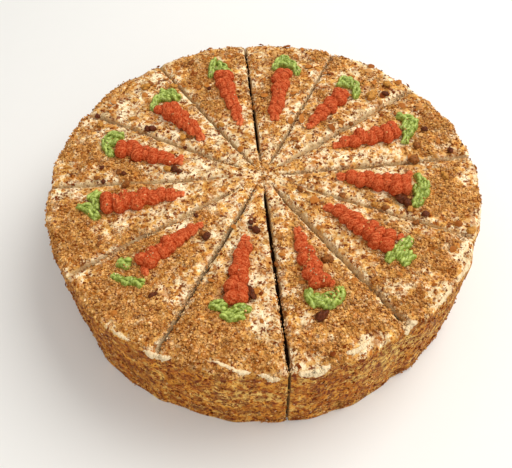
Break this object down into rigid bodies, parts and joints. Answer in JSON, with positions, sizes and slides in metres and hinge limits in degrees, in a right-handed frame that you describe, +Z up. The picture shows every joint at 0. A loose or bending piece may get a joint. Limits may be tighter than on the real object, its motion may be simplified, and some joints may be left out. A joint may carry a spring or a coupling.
{
  "type": "carrot cake",
  "caption": "Round carrot cake under a coat of cream and nut crumbs, cut into portions that each carry a piped orange carrot with green leaves.",
  "frame": {"origin": "centre of the flat base", "axes": "+Z up, through the middle of the cake; the nearest of the two open cuts lies close to -Y"},
  "size_m": [0.2617, 0.2609, 0.0711],
  "materials": {
    "crumb_coat": "pale cream under golden nut and sponge crumbs, dull and rough",
    "orange_cream": "piped orange buttercream, dull and slightly grainy",
    "green_cream": "piped green buttercream with a soft sheen"
  },
  "bodies": {
    "root": {"portion_01": "crumb_coat", "carrot_01": "orange_cream", "leaves_01": "green_cream", "portion_02": "crumb_coat", "carrot_02": "orange_cream", "leaves_02": "green_cream", "portion_03": "crumb_coat", "carrot_03": "orange_cream", "leaves_03": "green_cream", "portion_04": "crumb_coat", "carrot_04": "orange_cream", "leaves_04": "green_cream", "portion_05": "crumb_coat", "carrot_05": "orange_cream", "leaves_05": "green_cream", "portion_06": "crumb_coat", "carrot_06": "orange_cream", "leaves_06": "green_cream", "portion_07": "crumb_coat", "carrot_07": "orange_cream", "leaves_07": "green_cream", "portion_08": "crumb_coat", "carrot_08": "orange_cream", "leaves_08": "green_cream", "portion_09": "crumb_coat", "carrot_09": "orange_cream", "leaves_09": "green_cream", "portion_10": "crumb_coat", "carrot_10": "orange_cream", "leaves_10": "green_cream", "portion_11": "crumb_coat", "carrot_11": "orange_cream", "leaves_11": "green_cream", "portion_12": "crumb_coat", "carrot_12": "orange_cream", "leaves_12": "green_cream"}
  },
  "joints": []
}
